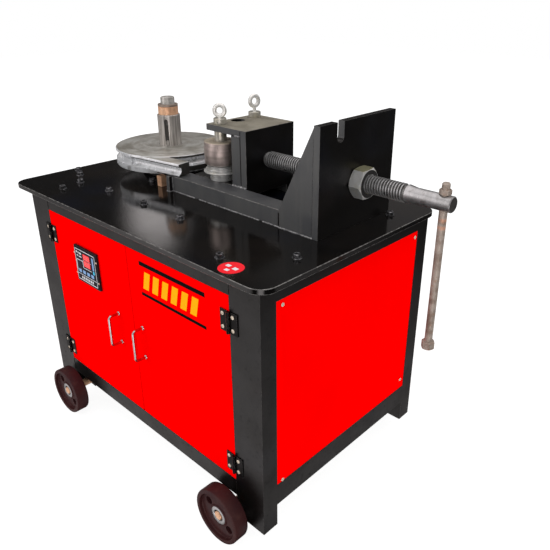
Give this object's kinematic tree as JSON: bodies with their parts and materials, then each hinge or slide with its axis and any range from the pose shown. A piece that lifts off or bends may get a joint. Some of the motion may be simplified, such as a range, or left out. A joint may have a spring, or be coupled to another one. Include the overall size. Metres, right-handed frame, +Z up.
{
  "type": "electric pipe bender",
  "caption": "Wheeled cabinet with a motor-driven grooved bending die on a vertical spindle, and a roller carriage that a hand-turned lead screw pushes towards the die.",
  "frame": {"origin": "on the floor, under the middle of the overall length and depth (the cabinet's own middle is 52.75 mm towards the die side, at x = -0.05275)", "axes": "+X along the front towards the lead screw's free end, +Y from the doors to the back, +Z up"},
  "size_m": [1.3194, 0.798, 1.064],
  "materials": {
    "black_paint": "satin black paint",
    "table_paint": "gloss black paint",
    "red_paint": "gloss red paint",
    "chrome": "polished chrome plate",
    "polished_steel": "turned bright steel, lightly oiled",
    "dark_steel": "turned steel with oil stains",
    "rusty_steel": "plain steel with light rust",
    "axle_copper": "copper-coloured steel",
    "bronze": "turned bronze",
    "wheel_iron": "dark red-brown primer on iron",
    "zinc": "zinc-plated",
    "black_plastic": "moulded black",
    "red_display": "red window over the digits",
    "grey_iron": "grey machine paint on cast iron",
    "motor_blue": "blue motor paint",
    "rubber": "moulded belt rubber"
  },
  "bodies": {
    "cabinet": {"cabinet_frame": "black_paint", "table_plate": "table_paint", "side_panel_left": "red_paint", "side_panel_right": "red_paint", "rear_panel": "red_paint", "base_shelf": "black_paint", "left_lower_hinge_frame_leaf": "black_paint", "left_upper_hinge_frame_leaf": "black_paint", "right_lower_hinge_frame_leaf": "black_paint", "right_upper_hinge_frame_leaf": "black_paint", "left_axle": "axle_copper", "right_axle": "axle_copper", "front_guide_rail": "black_paint", "rear_guide_rail": "black_paint", "screw_bracket": "black_paint", "bracket_nut": "zinc", "spindle_bearing": "grey_iron", "die_support_pad": "bronze", "gearbox_housing": "grey_iron", "gearbox_cover": "grey_iron", "motor": "motor_blue", "v_belt": "rubber"},
    "left_door_set": {"left_door": "red_paint", "left_handle": "chrome", "left_lower_hinge_door_leaf": "black_paint", "left_upper_hinge_door_leaf": "black_paint", "control_case": "black_plastic", "control_face": "black_plastic", "upper_display": "red_display", "lower_display": "red_display"},
    "right_door_set": {"right_door": "red_paint", "right_handle": "chrome", "right_lower_hinge_door_leaf": "black_paint", "right_upper_hinge_door_leaf": "black_paint"},
    "front_left_wheel_set": {"front_left_wheel": "wheel_iron"},
    "front_right_wheel_set": {"front_right_wheel": "wheel_iron"},
    "rear_left_wheel_set": {"rear_left_wheel": "wheel_iron"},
    "rear_right_wheel_set": {"rear_right_wheel": "wheel_iron"},
    "spindle": {"spindle_shaft": "polished_steel", "keyed_sleeve": "dark_steel", "drive_key": "polished_steel", "spindle_ring": "bronze", "bending_die": "polished_steel", "worm_wheel": "bronze"},
    "worm": {"worm_shaft": "polished_steel", "driven_pulley": "grey_iron"},
    "motor_rotor": {"motor_pulley": "grey_iron"},
    "carriage": {"carriage_frame": "black_paint", "front_roller_seat": "zinc", "rear_roller_seat": "zinc"},
    "screw": {"lead_screw": "polished_steel"},
    "bar": {"cross_bar": "rusty_steel", "cross_bar_nut": "rusty_steel"},
    "front_roller_set": {"front_roller": "dark_steel"},
    "rear_roller_set": {"rear_roller": "dark_steel"},
    "front_pin": {"front_roller_pin": "zinc"},
    "rear_pin": {"rear_roller_pin": "zinc"}
  },
  "joints": [
    {"name": "left_door_hinge", "type": "hinge", "parent": "cabinet", "child": "left_door_set", "pos_m": [-0.46795, -0.3448, 0.45], "axis": [0, 0, -1], "range_deg": [0, 110]},
    {"name": "right_door_hinge", "type": "hinge", "parent": "cabinet", "child": "right_door_set", "pos_m": [0.36245, -0.3448, 0.45], "axis": [0, 0, 1], "range_deg": [0, 110]},
    {"name": "front_left_wheel_spin", "type": "hinge", "parent": "cabinet", "child": "front_left_wheel_set", "pos_m": [-0.44775, -0.378, 0.08], "axis": [0, 1, 0], "continuous": true},
    {"name": "front_right_wheel_spin", "type": "hinge", "parent": "cabinet", "child": "front_right_wheel_set", "pos_m": [0.34225, -0.378, 0.08], "axis": [0, 1, 0], "continuous": true},
    {"name": "rear_left_wheel_spin", "type": "hinge", "parent": "cabinet", "child": "rear_left_wheel_set", "pos_m": [-0.44775, 0.378, 0.08], "axis": [0, 1, 0], "continuous": true},
    {"name": "rear_right_wheel_spin", "type": "hinge", "parent": "cabinet", "child": "rear_right_wheel_set", "pos_m": [0.34225, 0.378, 0.08], "axis": [0, 1, 0], "continuous": true},
    {"name": "spindle_turn", "type": "hinge", "parent": "cabinet", "child": "spindle", "pos_m": [-0.40175, 0.092, 0.8], "axis": [0, 0, 1], "continuous": true},
    {"name": "worm_turn", "type": "hinge", "parent": "cabinet", "child": "worm", "pos_m": [-0.28425, 0.092, 0.61], "axis": [0, 1, 0], "continuous": true},
    {"name": "motor_turn", "type": "hinge", "parent": "cabinet", "child": "motor_rotor", "pos_m": [0.00725, 0.24, 0.34], "axis": [0, 1, 0], "continuous": true},
    {"name": "carriage_slide", "type": "slide", "parent": "cabinet", "child": "carriage", "axis": [1, 0, 0], "range_m": [-0.0405, 0.2805]},
    {"name": "screw_turn", "type": "hinge", "parent": "carriage", "child": "screw", "pos_m": [0.3, 0.092, 0.901], "axis": [1, 0, 0], "range_deg": [-1800, 12600]},
    {"name": "cross_bar_slide", "type": "slide", "parent": "screw", "child": "bar", "axis": [0, 0, 1], "range_m": [0, 0.34]},
    {"name": "front_roller_spin", "type": "hinge", "parent": "carriage", "child": "front_roller_set", "pos_m": [-0.06775, 0.029, 0.911], "axis": [0, 0, 1], "continuous": true},
    {"name": "rear_roller_spin", "type": "hinge", "parent": "carriage", "child": "rear_roller_set", "pos_m": [-0.06775, 0.169, 0.911], "axis": [0, 0, 1], "continuous": true},
    {"name": "front_pin_lift", "type": "slide", "parent": "carriage", "child": "front_pin", "axis": [0, 0, 1], "range_m": [0, 0.19]},
    {"name": "rear_pin_lift", "type": "slide", "parent": "carriage", "child": "rear_pin", "axis": [0, 0, 1], "range_m": [0, 0.19]}
  ],
  "couplings": [
    {"joint": "carriage_slide", "follows": "screw_turn", "m_per_rad": 0.0012732},
    {"joint": "worm_turn", "follows": "spindle_turn", "ratio": 40},
    {"joint": "motor_turn", "follows": "spindle_turn", "ratio": 60}
  ]
}
